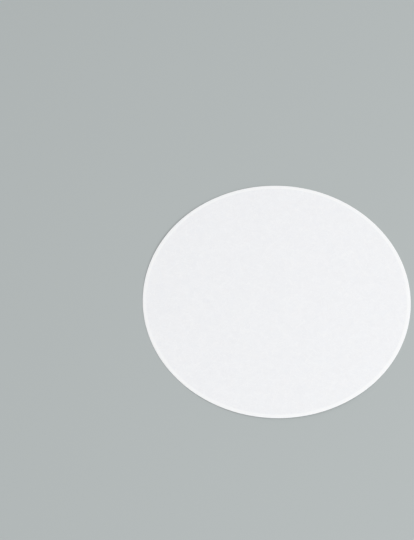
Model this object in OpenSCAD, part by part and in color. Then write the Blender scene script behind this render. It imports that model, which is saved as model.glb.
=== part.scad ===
// Filter paper disc: one round sheet of plain laboratory filter paper, punched out of a web.
// Millimetres, +Z up. The origin is the disc's centre, on the surface that the sheet lies on.
// The punch comes down from +Z, so the upper face is drawn down beside the cut
// and the underside stays flat right out to it.

/* [Sheet] */
// Diameter that the disc is punched to
disc_d = 110; // [55:5:240]
// Thickness of the paper, away from the cut edge
sheet_t = 0.18; // [0.14:0.01:0.4]

/* [Punched edge] */
// Width of the band beside the cut that the punch draws down
roll_w = 0.7; // [0.3:0.1:1.5]
// How far the upper face has dropped where it meets the cut
roll_drop = 0.05; // [0.02:0.01:0.08]

/* [Hidden] */
disc_r = disc_d / 2;
// The drawn-down band is one arc, tangent to the flat face where the band begins.
roll_r = (roll_w * roll_w + roll_drop * roll_drop) / (2 * roll_drop);
paper_white = [0.945, 0.949, 0.957];
$fn = 180;

// Half of the sheet's cross-section, from the disc's centre line out to the cut edge.
module sheet_section() {
    band_start = disc_r - roll_w;
    intersection() {
        square([disc_r, sheet_t]);
        union() {
            square([band_start, sheet_t]);
            translate([band_start, sheet_t - roll_r])
                circle(r = roll_r);
        }
    }
}

// The whole sheet: its section turned once round the centre line.
module paper_disc() {
    color(paper_white)
        rotate_extrude()
            sheet_section();
}

paper_disc();
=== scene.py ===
# %% [markdown]
# # A disc of filter paper
#
# A filter paper disc is one round sheet of soft, uncoated paper, punched out of a wide web.
# There is little to model and nowhere to hide: what makes it paper is how it lies, how its
# edge was cut, and what its two faces look like close up. Each step below adds one of these.
#
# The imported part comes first. It is the fixed frame that every later step is measured from,
# so nothing here chooses a position: the sheet goes where the frame says that it is.

# %% Load the frame
import math

import bpy
import numpy as np
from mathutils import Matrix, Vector


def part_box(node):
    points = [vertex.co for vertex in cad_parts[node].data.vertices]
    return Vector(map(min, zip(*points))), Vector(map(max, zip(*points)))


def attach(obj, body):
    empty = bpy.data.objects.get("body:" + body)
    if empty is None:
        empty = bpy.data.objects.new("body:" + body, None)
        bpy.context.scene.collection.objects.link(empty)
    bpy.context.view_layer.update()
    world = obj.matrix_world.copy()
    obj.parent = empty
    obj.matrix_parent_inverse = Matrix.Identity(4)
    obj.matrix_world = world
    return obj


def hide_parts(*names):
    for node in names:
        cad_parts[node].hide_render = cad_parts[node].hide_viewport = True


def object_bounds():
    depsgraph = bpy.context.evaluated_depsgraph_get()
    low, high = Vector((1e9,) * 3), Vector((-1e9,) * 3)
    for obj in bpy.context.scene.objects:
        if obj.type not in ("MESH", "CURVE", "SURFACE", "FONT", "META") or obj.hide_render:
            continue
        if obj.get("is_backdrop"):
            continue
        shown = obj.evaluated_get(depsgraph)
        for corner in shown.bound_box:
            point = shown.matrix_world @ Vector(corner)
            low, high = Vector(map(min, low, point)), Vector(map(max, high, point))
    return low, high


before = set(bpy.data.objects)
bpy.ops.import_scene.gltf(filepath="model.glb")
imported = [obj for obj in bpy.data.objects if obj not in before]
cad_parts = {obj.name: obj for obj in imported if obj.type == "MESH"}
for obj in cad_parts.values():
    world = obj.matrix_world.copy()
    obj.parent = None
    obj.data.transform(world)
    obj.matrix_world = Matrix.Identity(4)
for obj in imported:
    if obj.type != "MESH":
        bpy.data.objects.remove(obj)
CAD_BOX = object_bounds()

# %% [markdown]
# ## The sheet's sizes
#
# Blender works in metres and a papermaker in millimetres, so sizes below are written as a
# number times MM. The diameter and the thickness are read from the part. The band beside
# the cut, where the punch drew the upper face down, repeats the part's own two sizes.

# %% Sizes of the sheet
MM = 0.001
lowest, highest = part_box("paper_disc")
RADIUS = max(highest.x - lowest.x, highest.y - lowest.y) / 2
THICKNESS = highest.z - lowest.z
ROLL_WIDTH = 0.7 * MM
ROLL_DROP = 0.05 * MM

print(f"sheet: {2 * RADIUS / MM:.1f} mm across, {THICKNESS / MM:.2f} mm thick")

# %% [markdown]
# ## A round grid with no pole
#
# The obvious way to fill a circle is a fan of triangles, but they all meet in one point,
# and a thin sheet that bends shows a pinch there. This grid is a square one, blown up
# until its four sides become the circle: every cell stays a four-sided patch of about the
# same size, and the outermost ring is an even, closely spaced polygon.
#
# The rings aren't all the same distance apart. The last few are packed into the narrow
# band beside the cut, because that is the only place where the section curves.

# %% From a square to a disc
CELLS = 200
BAND_RINGS = 6
FLAT_SHARE = 1 - BAND_RINGS / (CELLS / 2)


def ring_radius(share):
    """Radius of a ring that lies this share (0 to 1) of the rings out from the centre.

    Rings are even up to the band beside the cut, and even again, but closer, inside it.
    """
    flat = RADIUS - ROLL_WIDTH
    return np.interp(share, [0, FLAT_SHARE, 1], [0, flat, RADIUS])


def round_grid(cells):
    """x and y of a square grid's points, moved onto a disc.

    A point (u, v) of the square lies on the ring max(|u|, |v|). Along one side of that ring
    the angle grows in step with the distance walked, 45 degrees each way from its middle.
    """
    u, v = np.meshgrid(np.linspace(-1, 1, cells + 1), np.linspace(-1, 1, cells + 1))
    sideways = np.abs(u) >= np.abs(v)
    reach = np.where(sideways, u, v)
    slope = np.divide(np.where(sideways, v, u), reach, out=np.zeros_like(u), where=reach != 0)
    angle = np.where(sideways, slope, 2 - slope) * math.pi / 4
    radius = np.sign(reach) * ring_radius(np.abs(reach))
    return radius * np.cos(angle), radius * np.sin(angle)


grid_x, grid_y = round_grid(CELLS)
print(f"grid: {grid_x.size} points, {4 * CELLS} of them round the cut edge")

# %% [markdown]
# ## How the sheet lies
#
# Paper is never quite flat. It was made on a moving wire and dried under tension, so it
# curls a little about the direction it ran in. Its free edge waves slightly, and uneven
# drying leaves shallow puckers that papermakers call cockle. On a fresh disc all of these
# together come to less than half a millimetre, which the eye reads only as soft changes of
# light, and as a rim that here touches the bench and there has a dark line under it.
#
# A noise texture could displace the mesh, but a sum of waves is easier to steer: each
# wave has a length in millimetres, so the sizes in the code are the sizes on the sheet.

# %% Curl, edge waves and cockle
CURL = 0.30 * MM
CURL_HEADING = math.radians(-75)
EDGE_WAVES = {2: 0.030 * MM, 3: 0.042 * MM, 5: 0.030 * MM, 7: 0.016 * MM}
FIRST_PHASE, NEXT_PHASE = 2.6, 1.7
COCKLE = 0.008 * MM
COCKLE_LENGTHS = 12 * MM, 34 * MM
COCKLE_WAVES = 48
COCKLE_SEED = 11


def ripples(x, y, height, shortest, longest, seed, count):
    """A smooth random surface whose root mean square height is the one given.

    It is a sum of straight waves. Each is the cosine of the distance along its own random
    heading, over its own length, plus a random phase.
    """
    draw = np.random.default_rng(seed)
    heading = draw.uniform(0, 2 * math.pi, count)
    length = np.exp(draw.uniform(math.log(shortest), math.log(longest), count))
    phase = draw.uniform(0, 2 * math.pi, count)
    along = x[..., None] * np.cos(heading) + y[..., None] * np.sin(heading)
    waves = np.cos(2 * math.pi * along / length + phase)
    return waves.sum(-1) * height * math.sqrt(2 / count)


def lie_of_sheet(x, y):
    """Height of the underside above its lowest point.

    Curl is a shallow trough: it grows with the square of the distance from the line that
    the sheet curls about. Edge waves are cosines of a whole number of turns round the
    disc, and grow with the cube of the radius. Cockle is random.
    """
    out = np.hypot(x, y) / RADIUS
    angle = np.arctan2(y, x)
    across = (x * math.cos(CURL_HEADING) + y * math.sin(CURL_HEADING)) / RADIUS
    height = CURL * across**2
    for number, (waves, size) in enumerate(EDGE_WAVES.items()):
        phase = FIRST_PHASE + NEXT_PHASE * number
        height = height + size * out**3 * np.cos(waves * angle + phase)
    return height + ripples(x, y, COCKLE, *COCKLE_LENGTHS, COCKLE_SEED, COCKLE_WAVES)


lie = lie_of_sheet(grid_x, grid_y)
lie = lie - lie.min()
print(f"lie: the rim clears the bench by up to {lie.max() / MM:.2f} mm")

# %% [markdown]
# ## The two faces
#
# The pulp settles in small clouds, thicker here and thinner there. That is the sheet's
# formation. On the upper face it leaves a relief of a few thousandths of a millimetre.
# The underside formed on the wire, which kept it flatter.
#
# Beside the cut, the punch draws the upper face down along one shallow arc. The arc starts
# level with the face, so light rolls off gently there in place of stopping at a corner.

# %% Heights of the upper face and the underside
FORMATION = 0.0020 * MM
WIRE_PRESSED = 0.0012 * MM
FLOC_LENGTHS = 1.8 * MM, 6 * MM
FLOC_WAVES = 96
UPPER_SEED, UNDER_SEED = 23, 31


def drawn_down(radius):
    """How far the upper face has dropped at this radius.

    The band is an arc of a circle that is level where the band begins, so the drop is that
    circle's radius less the height left on it after going that far into the band.
    """
    arc = (ROLL_WIDTH**2 + ROLL_DROP**2) / (2 * ROLL_DROP)
    into = np.clip(radius - (RADIUS - ROLL_WIDTH), 0, ROLL_WIDTH)
    return arc - np.sqrt(arc**2 - into**2)


clouds = ripples(grid_x, grid_y, FORMATION, *FLOC_LENGTHS, UPPER_SEED, FLOC_WAVES)
pressed = ripples(grid_x, grid_y, WIRE_PRESSED, *FLOC_LENGTHS, UNDER_SEED, FLOC_WAVES)
upper_z = lie + THICKNESS - drawn_down(np.hypot(grid_x, grid_y)) + clouds
under_z = lie + pressed
rest = under_z.min()
upper = np.stack([grid_x, grid_y, upper_z - rest], -1).reshape(-1, 3)
under = np.stack([grid_x, grid_y, under_z - rest], -1).reshape(-1, 3)

print(f"upper face: {upper[:, 2].min() / MM:.3f} to {upper[:, 2].max() / MM:.3f} mm up")

# %% [markdown]
# ## The cut
#
# The cut edge is a wall less than a fifth of a millimetre tall, but it is what the light
# catches from the side. It is a band of rings from the upper face's rim down to the
# underside's. The middle rings stand a few thousandths of a millimetre in or out at
# random, as fibres do where a blade has sheared them. The first and last are the two
# faces' own rims, so that the three surfaces share their points and the sheet is closed.

# %% Rings of the cut edge
WALL_STEPS = 4
NAP = 0.006 * MM
NAP_SEED = 5


def rim_of(cells):
    """Numbers of the square grid's outer points, once round, anticlockwise from a corner."""
    number = np.arange((cells + 1) ** 2).reshape(cells + 1, cells + 1)
    sides = number[0, :-1], number[:-1, -1], number[-1, :0:-1], number[:0:-1, 0]
    return np.concatenate(sides)


rim = rim_of(CELLS)
share = np.linspace(0, 1, WALL_STEPS + 1)[1:-1, None, None]
wall = upper[rim] * (1 - share) + under[rim] * share
nap = np.random.default_rng(NAP_SEED).normal(0, NAP, wall.shape[:2] + (1,))
wall[..., :2] *= 1 + nap / RADIUS

print(f"cut edge: {len(rim)} points round, {WALL_STEPS} cells tall")

# %% [markdown]
# ## Faces of the mesh
#
# A face is a list of point numbers, taken anticlockwise as seen from outside. The upper
# face's cells are counted one way round and the underside's the other, so both look out.
# Each cell is split into two triangles later, from its first corner to its third. The
# first corner is therefore the one nearest the centre, and every split runs outwards.

# %% Number the cells


def grid_cells(cells):
    """Corner numbers of the grid's cells, anticlockwise from above, innermost corner first."""
    number = np.arange((cells + 1) ** 2).reshape(cells + 1, cells + 1)
    near, far = slice(None, -1), slice(1, None)
    corners = (near, near), (near, far), (far, far), (far, near)
    cell = np.stack([number[c] for c in corners], -1)
    column, row = np.meshgrid(np.arange(cells), np.arange(cells))
    right, above = column >= cells // 2, row >= cells // 2
    start = np.where(right, np.where(above, 0, 3), np.where(above, 1, 2))
    turn = (start[..., None] + np.arange(4)) % 4
    return np.take_along_axis(cell, turn, -1).reshape(-1, 4)


def band_cells(upper_ring, lower_ring):
    """Corner numbers of the cells between two rings, anticlockwise from outside."""
    return np.stack(
        [upper_ring, lower_ring, np.roll(lower_ring, -1), np.roll(upper_ring, -1)], -1
    )


points = np.concatenate([upper, under, wall.reshape(-1, 3)])
under_start, wall_start = len(upper), len(upper) + len(under)
rings = [rim]
for step in range(WALL_STEPS - 1):
    rings.append(wall_start + step * len(rim) + np.arange(len(rim)))
rings.append(under_start + rim)

upper_cells = grid_cells(CELLS)
under_cells = under_start + grid_cells(CELLS)[:, [0, 3, 2, 1]]
wall_cells = np.concatenate([band_cells(a, b) for a, b in zip(rings, rings[1:])])
faces = np.concatenate([upper_cells, under_cells, wall_cells])
print(f"mesh: {len(points)} points, {len(faces)} cells, {2 * len(faces)} triangles")

# %% [markdown]
# ## One closed mesh, three surfaces
#
# foreach_set hands Blender a whole array at once, which is many times faster than a loop
# over points. Every cell has four corners, so a cell's corners start at every fourth
# place in the list.
#
# The sheet is one piece of paper and stays one mesh. Its upper face, underside and cut
# edge look different, though, so each has a material slot of its own. Smooth shading runs
# over each of them and stops at the two rims, where the punch left a true corner.

# %% Build the piece
UPPER_SLOT, UNDER_SLOT, CUT_SLOT = range(3)
CORNER = math.radians(50)


def mesh_of_cells(name, points, faces, slots):
    """A mesh of four-sided faces: points in metres, corner numbers, a slot number each."""
    mesh = bpy.data.meshes.new(name)
    mesh.vertices.add(len(points))
    mesh.vertices.foreach_set("co", points.astype(np.float32).ravel())
    mesh.loops.add(faces.size)
    mesh.loops.foreach_set("vertex_index", faces.astype(np.int32).ravel())
    mesh.polygons.add(len(faces))
    mesh.polygons.foreach_set("loop_start", np.arange(0, faces.size, 4, dtype=np.int32))
    mesh.polygons.foreach_set("material_index", slots.astype(np.int32))
    mesh.update(calc_edges=True)
    mesh.shade_smooth()
    mesh.set_sharp_from_angle(angle=CORNER)
    return mesh


slots = np.repeat(
    [UPPER_SLOT, UNDER_SLOT, CUT_SLOT], [len(upper_cells), len(under_cells), len(wall_cells)]
)
paper = bpy.data.objects.new("filter_paper", mesh_of_cells("filter_paper", points, faces, slots))
bpy.context.scene.collection.objects.link(paper)
problems = paper.data.validate(verbose=False)
print("piece:", paper.name, "needed repair" if problems else "is sound")

# %% [markdown]
# ## Laying the surfaces out flat
#
# To carry its finish to another program, the mesh needs a flat map of its surface. Left to
# itself, Blender would cut the thin edge into slivers. Here the two faces are two circles
# set corner to corner in a square, the upper one larger because it is the one that is
# looked at. The underside is mirrored, as it is when the sheet is turned over.

# %% Map the two faces
UPPER_SPAN = 0.325
UNDER_SPAN = 0.245
MAP_EDGE = 0.008


def face_layout(cells, centre, span, mirror=1):
    """Each corner's place on the map: its x and y, scaled so that the radius is the span."""
    flat = points[cells][..., :2] / RADIUS * span
    return flat * [mirror, 1] + centre


upper_middle = MAP_EDGE + UPPER_SPAN
under_middle = 1 - MAP_EDGE - UNDER_SPAN
upper_layout = face_layout(upper_cells, upper_middle, UPPER_SPAN)
under_layout = face_layout(under_cells, under_middle, UNDER_SPAN, mirror=-1)
gap = math.dist((upper_middle,) * 2, (under_middle,) * 2) - UPPER_SPAN - UNDER_SPAN
print(f"map: the two faces are {gap:.3f} apart")

# %% [markdown]
# The cut edge goes into the two corners that the circles leave free, as eight short
# strips, four to a corner. Each is made taller than it really is, so that the layers of
# fibre in it aren't lost.

# %% Map the cut edge
STRIPS = 8
STRIP_LENGTH = 0.26
STRIP_HEIGHT = 0.008
STRIP_PITCH = 0.014


def strip_layout(steps, around):
    """The cut edge as strips: along a strip by the cell's number, up it by its ring.

    Half of the strips are stacked in one free corner of the square, half in the other.
    """
    per_strip = around // STRIPS
    ring, cell = np.divmod(np.arange(steps * around), around)
    strip, place = np.divmod(cell, per_strip)
    along = (place[:, None] + [0, 0, 1, 1]) / per_strip * STRIP_LENGTH
    up = (steps - ring[:, None] - [0, 1, 1, 0]) / steps * STRIP_HEIGHT
    first_corner = strip < STRIPS // 2
    stack = (strip % (STRIPS // 2)) * STRIP_PITCH
    left = np.where(first_corner, MAP_EDGE, 1 - MAP_EDGE - STRIP_LENGTH)
    bottom = np.where(first_corner, 1 - MAP_EDGE - STRIP_HEIGHT - stack, MAP_EDGE + stack)
    return np.stack([along + left[:, None], up + bottom[:, None]], -1)


layout = np.concatenate([upper_layout, under_layout, strip_layout(WALL_STEPS, len(rim))])
uv_map = paper.data.uv_layers.new(name="OFBake")
uv_map.uv.foreach_set("vector", layout.astype(np.float32).ravel())
print(f"map: {len(layout)} cells between {layout.min():.3f} and {layout.max():.3f}")

# %% [markdown]
# ## A few words for nodes
#
# Node trees written out in full bury the idea under bookkeeping. The first helper adds a
# node, feeds it, and hands back the socket that the next step reads. Everything after it
# is built from that one word.

# %% Helper: add a node and feed it


def add(tree, kind, feeds=None, output=0, **settings):
    """Adds a node and returns one of its outputs.

    feeds gives each input, by name or number, a value or another node's output.
    """
    node = tree.nodes.new(kind)
    for name, value in settings.items():
        setattr(node, name, value)
    for key, value in (feeds or {}).items():
        if isinstance(value, bpy.types.NodeSocket):
            tree.links.new(value, node.inputs[key])
        else:
            node.inputs[key].default_value = value
    return node.outputs[output]


print("helper: add")

# %% [markdown]
# Three kinds of node do most of the work: a step of arithmetic, a smooth climb between two
# values, and a blend of two colours. A Mix node has sockets for every kind of value it can
# mix, all under the same names, so the ones for colours are picked by number.

# %% Helpers: arithmetic, climbs and blends
MIX_SHARE, MIX_FIRST, MIX_SECOND, MIX_COLOUR = 0, 6, 7, 2


def work_out(tree, operation, *values):
    """One step of arithmetic on values or sockets."""
    return add(tree, "ShaderNodeMath", dict(enumerate(values)), operation=operation)


def ramp(tree, value, low, high, to_low=0.0, to_high=1.0):
    """A smooth climb from to_low to to_high while the value goes from low to high."""
    feeds = dict(enumerate([value, low, high, to_low, to_high]))
    return add(tree, "ShaderNodeMapRange", feeds, interpolation_type="SMOOTHSTEP")


def tint(tree, share, colour, other):
    """Goes from one colour to the other as the share goes from 0 to 1."""
    feeds = {MIX_SHARE: share, MIX_FIRST: colour, MIX_SECOND: other}
    return add(tree, "ShaderNodeMix", feeds, output=MIX_COLOUR, data_type="RGBA")


print("helpers: work_out, ramp and tint")

# %% [markdown]
# An effect that several materials share is a node group: a small tree with named inputs
# and outputs, which shows up in each material as a single node. Change the group and every
# material that holds it follows. One helper starts such a group, the other places it.

# %% Helpers: start a node group and place it


def shader_group(name, inputs, outputs):
    """A new node group. inputs maps each name to its socket kind and first value.

    Returns the group's tree, its input sockets by name, and the node that it ends in.
    """
    tree = bpy.data.node_groups.new(name, "ShaderNodeTree")
    for socket_name, (kind, value) in inputs.items():
        kind = "NodeSocket" + kind
        socket = tree.interface.new_socket(socket_name, in_out="INPUT", socket_type=kind)
        if value is not None:
            socket.default_value = value
    for socket_name, kind in outputs.items():
        kind = "NodeSocket" + kind
        tree.interface.new_socket(socket_name, in_out="OUTPUT", socket_type=kind)
    given = tree.nodes.new("NodeGroupInput").outputs
    return tree, given, tree.nodes.new("NodeGroupOutput")


def place_group(tree, group, feeds):
    """Places a node group in a tree, feeds its inputs and returns its output."""
    return add(tree, "ShaderNodeGroup", feeds, node_tree=group)


print("helpers: shader_group and place_group")

# %% [markdown]
# ## Fibres
#
# Under a lens, filter paper is a felt of cotton and wood fibres that cross at every angle.
# Drawing each one would take millions of curves. A noise texture gets there another way:
# stretch it along one direction, and keep only the lines where it is half way between its
# dark and its light. Those lines wander, thicken and fork as strands do. A second noise
# breaks them into lengths. The group's position and spacing are in millimetres.

# %% Node group: one run of strands
WANDER = 2.2
WANDER_SCALE = 0.35
BREAK_SCALE = 0.8
BROKEN_BELOW, WHOLE_ABOVE = 0.40, 0.56
BREAK_BATCH = 40.0


def strands_group():
    """One run of strands: 1 on a strand and 0 between, along the heading.

    The position is turned to the heading, pushed about by a slow noise, and divided by a
    cell that is Spacing wide and Length times as long. A strand is where the noise of that
    place is within Thickness of a half. It breaks off where a second noise is low.
    """
    tree, given, result = shader_group(
        "Fibre strands",
        {
            "Position": ("Vector", None),
            "Heading": ("Float", 0.0),
            "Spacing": ("Float", 1.0),
            "Length": ("Float", 6.0),
            "Thickness": ("Float", 0.05),
            "Batch": ("Float", 0.0),
        },
        {"Strands": "Float"},
    )
    batch, spacing = given["Batch"], given["Spacing"]
    feeds = {"Vector": given["Position"], "Angle": given["Heading"]}
    turned = add(tree, "ShaderNodeVectorRotate", feeds, rotation_type="Z_AXIS")
    feeds = {"Vector": turned, "W": batch, "Scale": WANDER_SCALE, "Detail": 1.0}
    push = add(tree, "ShaderNodeTexNoise", feeds, output="Color", noise_dimensions="4D")
    feeds = {0: push, 1: (WANDER, WANDER, WANDER), 2: turned}
    bent = add(tree, "ShaderNodeVectorMath", feeds, operation="MULTIPLY_ADD")
    feeds = {"X": work_out(tree, "MULTIPLY", spacing, given["Length"]), "Y": spacing, "Z": spacing}
    cell = add(tree, "ShaderNodeCombineXYZ", feeds)
    place = add(tree, "ShaderNodeVectorMath", {0: bent, 1: cell}, operation="DIVIDE")
    feeds = {"Vector": place, "W": batch, "Scale": 1.0, "Detail": 1.0}
    noise = add(tree, "ShaderNodeTexNoise", feeds, noise_dimensions="4D")
    from_half = work_out(tree, "ABSOLUTE", work_out(tree, "SUBTRACT", noise, 0.5))
    strand = ramp(tree, from_half, 0.0, given["Thickness"], 1.0, 0.0)
    break_batch = work_out(tree, "ADD", batch, BREAK_BATCH)
    feeds = {"Vector": place, "W": break_batch, "Scale": BREAK_SCALE, "Detail": 0.0}
    breaks = add(tree, "ShaderNodeTexNoise", feeds, noise_dimensions="4D")
    whole = ramp(tree, breaks, BROKEN_BELOW, WHOLE_ABOVE)
    tree.links.new(work_out(tree, "MULTIPLY", strand, whole), result.inputs["Strands"])
    return tree


STRANDS = strands_group()
print("group:", STRANDS.name, "with", len(STRANDS.nodes), "nodes")

# %% [markdown]
# One run of strands has a grain, as a brushed surface has. Felt has none. The next group
# lays three runs over each other, sixty degrees apart, and a strand on top hides the ones
# below it, which is what taking the largest of the three does.

# %% Node group: three runs laid over each other
FIRST_HEADING = math.radians(20)
NEXT_HEADING = math.radians(60)
NEXT_BATCH = 7.0


def felt_group():
    """The largest of three runs of strands, each turned sixty degrees from the last."""
    tree, given, result = shader_group(
        "Fibre felt",
        {
            "Position": ("Vector", None),
            "Spacing": ("Float", 1.0),
            "Thickness": ("Float", 0.05),
            "Batch": ("Float", 0.0),
        },
        {"Strands": "Float"},
    )
    runs = []
    for number in range(3):
        feeds = {name: given[name] for name in ("Position", "Spacing", "Thickness")}
        feeds["Heading"] = FIRST_HEADING + NEXT_HEADING * number
        feeds["Batch"] = work_out(tree, "ADD", given["Batch"], NEXT_BATCH * number)
        runs.append(place_group(tree, STRANDS, feeds))
    top = work_out(tree, "MAXIMUM", work_out(tree, "MAXIMUM", runs[0], runs[1]), runs[2])
    tree.links.new(top, result.inputs["Strands"])
    return tree


FELT = felt_group()
print("group:", FELT.name, "with", len(FELT.nodes), "nodes")

# %% [markdown]
# Pulp is never all one size. It holds bundles of fibre, whole fibres, and many more short
# broken ones. So a face gets three sizes of felt laid over each other. A few long strands
# stand out, and finer and fainter ones fill in between them.

# %% Node group: three sizes of felt
STRAND_SIZES = (
    {"Spacing": 0.90, "Thickness": 0.045},
    {"Spacing": 0.40, "Thickness": 0.055},
    {"Spacing": 0.17, "Thickness": 0.070},
)
STRENGTHS = 1.0, 0.7, 0.5
SIZE_BATCH = 2.0


def pulp_group():
    """The largest of three sizes of felt, each times its own strength."""
    inputs = {"Position": ("Vector", None), "Batch": ("Float", 1.0)}
    tree, given, result = shader_group("Pulp", inputs, {"Strands": "Float"})
    strands = 0.0
    for number, (size, strength) in enumerate(zip(STRAND_SIZES, STRENGTHS)):
        batch = work_out(tree, "ADD", given["Batch"], SIZE_BATCH * number)
        feeds = {"Position": given["Position"], "Batch": batch, **size}
        layer = work_out(tree, "MULTIPLY", place_group(tree, FELT, feeds), strength)
        strands = work_out(tree, "MAXIMUM", layer, strands)
    tree.links.new(strands, result.inputs["Strands"])
    return tree


PULP = pulp_group()
print("group:", PULP.name, "with", len(PULP.nodes), "nodes")

# %% [markdown]
# ## Formation
#
# Held up to a window, a sheet shows clouds: the flocs in which the fibres settled. Lying
# on a bench it shows them only just, as a mottling a few millimetres wide, a shade whiter
# where the sheet is dense. A plain noise texture with three finer layers on it does well.

# %% Node group: clouds
THIN_BELOW, DENSE_ABOVE = 0.30, 0.70


def formation_group():
    """Clouds of denser sheet: 1 in a dense floc and 0 in a thin place."""
    inputs = {"Position": ("Vector", None), "Cloud Width": ("Float", 4.0)}
    tree, given, result = shader_group("Formation", inputs, {"Clouds": "Float"})
    scale = work_out(tree, "DIVIDE", 1.0, given["Cloud Width"])
    feeds = {"Vector": given["Position"], "Scale": scale, "Detail": 3.0, "Roughness": 0.55}
    noise = add(tree, "ShaderNodeTexNoise", feeds)
    clouds = ramp(tree, noise, THIN_BELOW, DENSE_ABOVE)
    tree.links.new(clouds, result.inputs["Clouds"])
    return tree


FORMATION_CLOUDS = formation_group()
print("group:", FORMATION_CLOUDS.name, "with", len(FORMATION_CLOUDS.nodes), "nodes")

# %% [markdown]
# ## A painted highlight at the rim
#
# Close to the cut, the punch has crushed the sheet. The slightly whiter line round the disc
# is a painted highlight along the rim. This group measures how far a point is from the
# centre and gives the share of that painted highlight.

# %% Node group: painted rim highlight
FULL_HIGHLIGHT_SHARE = 0.7


def rim_highlight_group():
    """A painted highlight in the band beside the cut: 0 on the face, 1 where fully whitened.

    The share is counted inwards from the cut. Over the rest of the band the value climbs.
    """
    inputs = {
        "Position": ("Vector", None),
        "Radius": ("Float", RADIUS / MM),
        "Width": ("Float", 1.0),
    }
    tree, given, result = shader_group("Painted rim highlight", inputs, {"Rim Highlight": "Float"})
    feeds = {0: given["Position"], 1: (1, 1, 0)}
    flat = add(tree, "ShaderNodeVectorMath", feeds, operation="MULTIPLY")
    out = add(tree, "ShaderNodeVectorMath", {0: flat}, output="Value", operation="LENGTH")
    start = work_out(tree, "SUBTRACT", given["Radius"], given["Width"])
    full = work_out(tree, "MULTIPLY_ADD", given["Width"], -FULL_HIGHLIGHT_SHARE, given["Radius"])
    tree.links.new(ramp(tree, out, start, full), result.inputs["Rim Highlight"])
    return tree


RIM_HIGHLIGHT = rim_highlight_group()
print("group:", RIM_HIGHLIGHT.name, "with", len(RIM_HIGHLIGHT.nodes), "nodes")

# %% [markdown]
# ## What paper does with light
#
# Uncoated paper is one of the mattest things there are. Light goes in between the fibres
# and comes out again a tenth of a millimetre away, which is what Subsurface does, and
# since the sheet is hardly thicker than that, a little comes out of the other side. The
# fine nap at the surface lifts the brightness at a low angle, which is Sheen. These are
# the same all over the sheet, so they are set on the shader and not worked out by nodes.
#
# The whites are written as screens name them, from 0 to 255, because that is how the eye
# compares them. Two steps are all that separate a thin place from a dense one, and five
# more lift a fibre out of the sheet.

# %% A material for uncoated paper
PAPER_SETTINGS = {
    "Specular IOR Level": 0.25,
    "Subsurface Weight": 0.2,
    "Subsurface Radius": (1.0, 0.96, 0.92),
    "Subsurface Scale": 0.12 * MM,
    "Sheen Weight": 0.06,
    "Sheen Roughness": 0.6,
}


def shade(red, green, blue):
    """A colour as screens name it, 0 to 255, in the light values that shaders use."""
    written = np.array([red, green, blue]) / 255
    light = np.where(written <= 0.04045, written / 12.92, ((written + 0.055) / 1.055) ** 2.4)
    return (*light.tolist(), 1.0)


def paper_material(name):
    """Returns a paper material, its tree, its shader and the position in millimetres."""
    material = bpy.data.materials.new(name)
    material.use_nodes = True
    tree = material.node_tree
    shader = tree.nodes["Principled BSDF"]
    for setting, value in PAPER_SETTINGS.items():
        shader.inputs[setting].default_value = value
    feeds = {0: add(tree, "ShaderNodeTexCoord", output="Object"), "Scale": 1 / MM}
    position = add(tree, "ShaderNodeVectorMath", feeds, operation="SCALE")
    return material, tree, shader, position


def dress(tree, shader, colour, roughness, *patterns):
    """Feeds the shader its colour, its roughness and its relief.

    The relief is the sum of the patterns, each times its height in millimetres.
    """
    height = 0.0
    for pattern, tall in patterns:
        height = work_out(tree, "MULTIPLY_ADD", pattern, tall, height)
    feeds = {"Height": height, "Distance": MM, "Strength": 1.0}
    normal = add(tree, "ShaderNodeBump", feeds)
    tree.links.new(colour, shader.inputs["Base Color"])
    tree.links.new(roughness, shader.inputs["Roughness"])
    tree.links.new(normal, shader.inputs["Normal"])


THIN = shade(240, 241, 244)
DENSE = shade(242, 243, 246)
FIBRE = shade(247, 248, 250)
# The whitest white is a painted highlight along the rim, and also the white of the sheared fibres
# in the cut edge.
CUT_FIBRE_AND_RIM_HIGHLIGHT = shade(250, 251, 252)
# The dimple white is partly the thinner sheet and partly painted shade in the hollows of the
# weave.
DIMPLE_TONE_AND_SHADE = shade(236, 237, 240)
whites = {"thin": THIN, "dense": DENSE, "fibre": FIBRE, "rim highlight and cut fibre": CUT_FIBRE_AND_RIM_HIGHLIGHT, "dimple tone and shade": DIMPLE_TONE_AND_SHADE}
print("whites:", {name: round(white[0], 3) for name, white in whites.items()})

# %% [markdown]
# ## The upper face
#
# This is the felt side, which never touched the wire. Its colour is a hair cooler than
# neutral. Formation moves it between two whites, strands lie on it a touch lighter, and a
# painted highlight makes the band along the rim whitest.
#
# Relief does the rest. Each pattern is given its real height: a strand stands nine
# thousandths of a millimetre proud. Under it the face has a tooth, the soft bumps that
# the woollen felt pressed into the wet sheet, each about half a millimetre wide. Under a
# raking light, these are all that separate paper from card painted white.

# %% Material: felt side
CLOUD_WIDTH = 3.6
CLOUD_HEIGHT = 0.003
FELT_BATCH = 1.0
STRAND_HEIGHT = 0.009
TOOTH_WIDTH = 0.5
TOOTH_HEIGHT = 0.014
FELT_RIM_WIDTH = 1.8
FELT_ROUGHNESS = 0.94, 0.86  # between strands, on a strand


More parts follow.
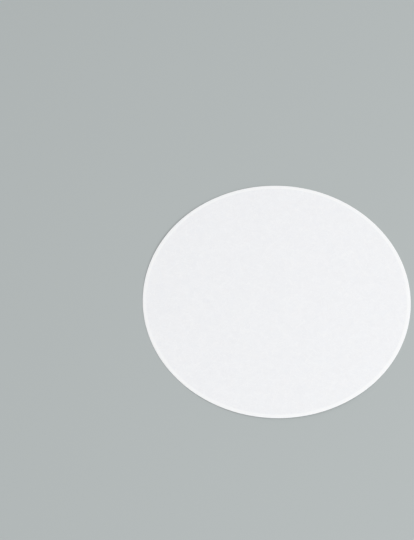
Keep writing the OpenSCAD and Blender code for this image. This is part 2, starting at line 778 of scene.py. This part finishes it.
def felt_side():
    """Clouds, strands lying on them, the tooth, and a painted highlight along the rim."""
    material, tree, shader, position = paper_material("felt_side")
    feeds = {"Position": position, "Cloud Width": CLOUD_WIDTH}
    clouds = place_group(tree, FORMATION_CLOUDS, feeds)
    strands = place_group(tree, PULP, {"Position": position, "Batch": FELT_BATCH})
    feeds = {"Vector": position, "Scale": 1 / TOOTH_WIDTH, "Detail": 1.0}
    tooth = add(tree, "ShaderNodeTexNoise", feeds)
    # rim is the share of the band along the rim that gets a painted highlight.
    rim = place_group(tree, RIM_HIGHLIGHT, {"Position": position, "Width": FELT_RIM_WIDTH})
    colour = tint(tree, clouds, THIN, DENSE)
    colour = tint(tree, strands, colour, FIBRE)
    colour = tint(tree, rim, colour, CUT_FIBRE_AND_RIM_HIGHLIGHT)
    roughness = ramp(tree, strands, 0, 1, *FELT_ROUGHNESS)
    patterns = (clouds, CLOUD_HEIGHT), (strands, STRAND_HEIGHT), (tooth, TOOTH_HEIGHT)
    dress(tree, shader, colour, roughness, *patterns)
    return material


paper.data.materials.append(felt_side())
print("upper face:", paper.data.materials[UPPER_SLOT].name)

# %% [markdown]
# ## The underside
#
# This is the wire side. The sheet was drained on a woven wire, and its weave is still
# there, as faint rows of dimples in two directions. Two sine waves multiplied together
# make them. A dimple is where a wire held the pulp off, so it is a little thinner; its
# darker white is partly that thinness and partly painted shade in the hollow. The fibres
# are pressed in here, so they show half as much, and the rim gets a painted highlight.

# %% Material: wire side
WIRE_BATCH = 2.0
WIRE_PITCH = 0.7
WEAVE_HEIGHT = 0.006
PRESSED_IN = 0.5
WIRE_RIM_WIDTH = 0.5
WIRE_ROUGHNESS = 0.88, 0.94  # in a dimple, between dimples


def wire_side():
    """Clouds, pressed strands, weave dimples in line with the web with painted shade, and a
    painted rim highlight.
    """
    material, tree, shader, position = paper_material("wire_side")
    feeds = {"Position": position, "Cloud Width": CLOUD_WIDTH}
    clouds = place_group(tree, FORMATION_CLOUDS, feeds)
    strands = place_group(tree, PULP, {"Position": position, "Batch": WIRE_BATCH})
    strands = work_out(tree, "MULTIPLY", strands, PRESSED_IN)
    feeds = {"Vector": position, "Angle": -CURL_HEADING}
    turned = add(tree, "ShaderNodeVectorRotate", feeds, rotation_type="Z_AXIS")
    turns = 2 * math.pi / WIRE_PITCH
    waves = []
    for axis in ("X", "Y"):
        along = add(tree, "ShaderNodeSeparateXYZ", {0: turned}, output=axis)
        waves.append(work_out(tree, "SINE", work_out(tree, "MULTIPLY", along, turns)))
    weave = work_out(tree, "MULTIPLY_ADD", work_out(tree, "MULTIPLY", *waves), 0.5, 0.5)
    dimples = ramp(tree, weave, 0, 1, 1, 0)
    # rim is the share of the band along the rim that gets a painted highlight.
    rim = place_group(tree, RIM_HIGHLIGHT, {"Position": position, "Width": WIRE_RIM_WIDTH})
    colour = tint(tree, clouds, THIN, DENSE)
    # Dimples are tinted darker: partly a thinner sheet, partly painted shade in their hollows.
    colour = tint(tree, dimples, colour, DIMPLE_TONE_AND_SHADE)
    colour = tint(tree, strands, colour, FIBRE)
    colour = tint(tree, rim, colour, CUT_FIBRE_AND_RIM_HIGHLIGHT)
    roughness = ramp(tree, weave, 0, 1, *WIRE_ROUGHNESS)
    dress(tree, shader, colour, roughness, (strands, STRAND_HEIGHT), (weave, WEAVE_HEIGHT))
    return material


paper.data.materials.append(wire_side())
print("underside:", paper.data.materials[UNDER_SLOT].name)

# %% [markdown]
# ## The cut edge
#
# A blade leaves the ends of fibres in layers, one sheet's worth high. The felt group serves
# again, stretched flat: scaling the position's height up tenfold squeezes the pattern into
# thin layers that run round the disc.

# %% Material: cut edge
CUT_STRANDS = {"Spacing": 0.4, "Thickness": 0.08, "Batch": 9.0}
LAYERED = 10.0
LAYER_HEIGHT = 0.006
CUT_ROUGHNESS = 0.97, 0.90  # between layers, on a layer


def cut_edge():
    """Layers of sheared fibres that run round the disc."""
    material, tree, shader, position = paper_material("cut_edge")
    feeds = {0: position, 1: (1, 1, LAYERED)}
    layered = add(tree, "ShaderNodeVectorMath", feeds, operation="MULTIPLY")
    strands = place_group(tree, FELT, {"Position": layered, **CUT_STRANDS})
    colour = tint(tree, strands, DENSE, CUT_FIBRE_AND_RIM_HIGHLIGHT)
    roughness = ramp(tree, strands, 0, 1, *CUT_ROUGHNESS)
    dress(tree, shader, colour, roughness, (strands, LAYER_HEIGHT))
    return material


paper.data.materials.append(cut_edge())
print("cut edge:", paper.data.materials[CUT_SLOT].name)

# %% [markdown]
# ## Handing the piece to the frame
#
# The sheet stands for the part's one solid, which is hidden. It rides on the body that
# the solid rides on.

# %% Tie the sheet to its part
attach(paper, "root")
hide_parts("paper_disc")
print(paper.name, "rides on root, stands for paper_disc and is made of paper")

# %% [markdown]
# ## The bench
#
# White on white needs a ground that is a step darker, so the bench is a plain pale grey,
# with a cool cast. One large square is enough. It takes the soft shadow where the rim
# lifts.

# %% Bench
BENCH = shade(182, 188, 188)
BENCH_ROUGHNESS = 0.9
BENCH_SHINE = 0.1
BENCH_SIZE = 8.0


def make_bench():
    """A level square at the height that the sheet lies on."""
    half = BENCH_SIZE / 2
    corners = [(-half, -half, 0), (half, -half, 0), (half, half, 0), (-half, half, 0)]
    mesh = bpy.data.meshes.new("bench")
    mesh.from_pydata(corners, [], [(0, 1, 2, 3)])
    bench = bpy.data.objects.new("bench", mesh)
    bpy.context.scene.collection.objects.link(bench)
    material = bpy.data.materials.new("bench_grey")
    material.use_nodes = True
    shader = material.node_tree.nodes["Principled BSDF"]
    shader.inputs["Base Color"].default_value = BENCH
    shader.inputs["Roughness"].default_value = BENCH_ROUGHNESS
    shader.inputs["Specular IOR Level"].default_value = BENCH_SHINE
    mesh.materials.append(material)
    return bench


bench = make_bench()
bench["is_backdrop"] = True
print(f"bench: {BENCH_SIZE:.0f} m square, declared as stage")

# %% [markdown]
# ## Light that adds up to one
#
# Most of the light comes evenly from all round, and the rest from one large soft box, low
# enough to rake across the fibres. Together they add up to one, so a level face renders
# about as its colour was written, and nothing clips.
#
# A lamp that lights a level face with the share s of white needs a power of pi squared
# times s times the distance squared, over the sine of its height angle.

# %% Soft box
BOX_SHARE = 0.34
BOX_DISTANCE = 1.6
BOX_SIZE = 0.8
BOX_HEIGHT_ANGLE = math.radians(38)
BOX_HEADING = math.radians(-28)


def make_soft_box(target):
    """A square lamp that faces the target from its heading, its height angle and distance."""
    level, up = math.cos(BOX_HEIGHT_ANGLE), math.sin(BOX_HEIGHT_ANGLE)
    towards = Vector((level * math.cos(BOX_HEADING), level * math.sin(BOX_HEADING), up))
    light = bpy.data.lights.new("soft_box", "AREA")
    light.size = BOX_SIZE
    light.energy = math.pi**2 * BOX_SHARE * BOX_DISTANCE**2 / up
    lamp = bpy.data.objects.new("soft_box", light)
    lamp.location = Vector(target) + towards * BOX_DISTANCE
    lamp.rotation_euler = towards.to_track_quat("Z", "Y").to_euler()
    bpy.context.scene.collection.objects.link(lamp)
    return lamp


soft_box = make_soft_box((0, 0, THICKNESS))
print(f"soft box: {soft_box.data.energy:.1f} W for {BOX_SHARE:.2f} of the light")

# %% [markdown]
# The light from all round is the world's. A camera that looks past the far edge of the
# bench would see that light as a hard white horizon. So to the camera, and in reflections,
# the world shows the grey that the bench has far from the soft box, and the two meet
# without a seam.

# %% Surroundings


def make_surroundings():
    """Even light from all round, which shows as the bench's own far grey."""
    world = bpy.data.worlds.new("studio")
    world.use_nodes = True
    bpy.context.scene.world = world
    tree = world.node_tree
    path = tree.nodes.new("ShaderNodeLightPath").outputs
    seen = work_out(tree, "MAXIMUM", path["Is Camera Ray"], path["Is Glossy Ray"])
    seen = work_out(tree, "MAXIMUM", seen, path["Is Transmission Ray"])
    level = 1 - BOX_SHARE
    far_bench = [level * light for light in BENCH[:3]]
    colour = tint(tree, seen, (level, level, level, 1), (*far_bench, 1))
    tree.links.new(colour, tree.nodes["Background"].inputs["Color"])
    return level


around = make_surroundings()
bpy.context.scene.view_settings.view_transform = "Standard"
print(f"surroundings: {around:.2f} of the light")

# %% [markdown]
# ## Camera
#
# The camera looks down on the disc from about sixty degrees above the bench, through a
# long lens from ten diameters away, so the circle shows as an almost perfect ellipse.
# Where it stands is given in disc radii: make the disc larger, and the camera steps back
# with it.

# %% Place the camera
CAMERA_HEIGHT_ANGLE = math.radians(59.47)
CAMERA_AWAY = 20.677
DISC_TO_THE_RIGHT = 0.5202
DISC_BELOW_MIDDLE = 0.2196
LENS = 184.65
SENSOR = 36
NEAREST_SEEN = 0.05


def make_camera():
    """A level camera, set back from the disc's centre along its own three directions."""
    tilt = math.pi / 2 - CAMERA_HEIGHT_ANGLE
    right = Vector((1, 0, 0))
    up = Vector((0, math.cos(tilt), math.sin(tilt)))
    back = right.cross(up)
    camera = bpy.data.objects.new("camera", bpy.data.cameras.new("camera"))
    camera.data.lens = LENS
    camera.data.sensor_width = SENSOR
    camera.data.clip_start = NEAREST_SEEN
    offset = CAMERA_AWAY * back - DISC_TO_THE_RIGHT * right + DISC_BELOW_MIDDLE * up
    camera.location = Vector((0, 0, THICKNESS)) + RADIUS * offset
    camera.rotation_euler = (tilt, 0, 0)
    bpy.context.scene.collection.objects.link(camera)
    bpy.context.scene.camera = camera
    return camera


camera = make_camera()
print(f"camera: {camera.location.length:.3f} m from the disc")

# %% [markdown]
# ## The sizes of the solid and the dressed sheet
#
# The dressed sheet may stand a little proud of the solid, as it lies less flat, but it
# keeps its diameter. Both boxes are printed side by side.

# %% Print the sizes
DRESSED_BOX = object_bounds()
boxes = {"cad": [list(c) for c in CAD_BOX], "visual": [list(c) for c in DRESSED_BOX]}
for name, (low, high) in boxes.items():
    print(name, "box in mm:", [round((b - a) / MM, 3) for a, b in zip(low, high)])
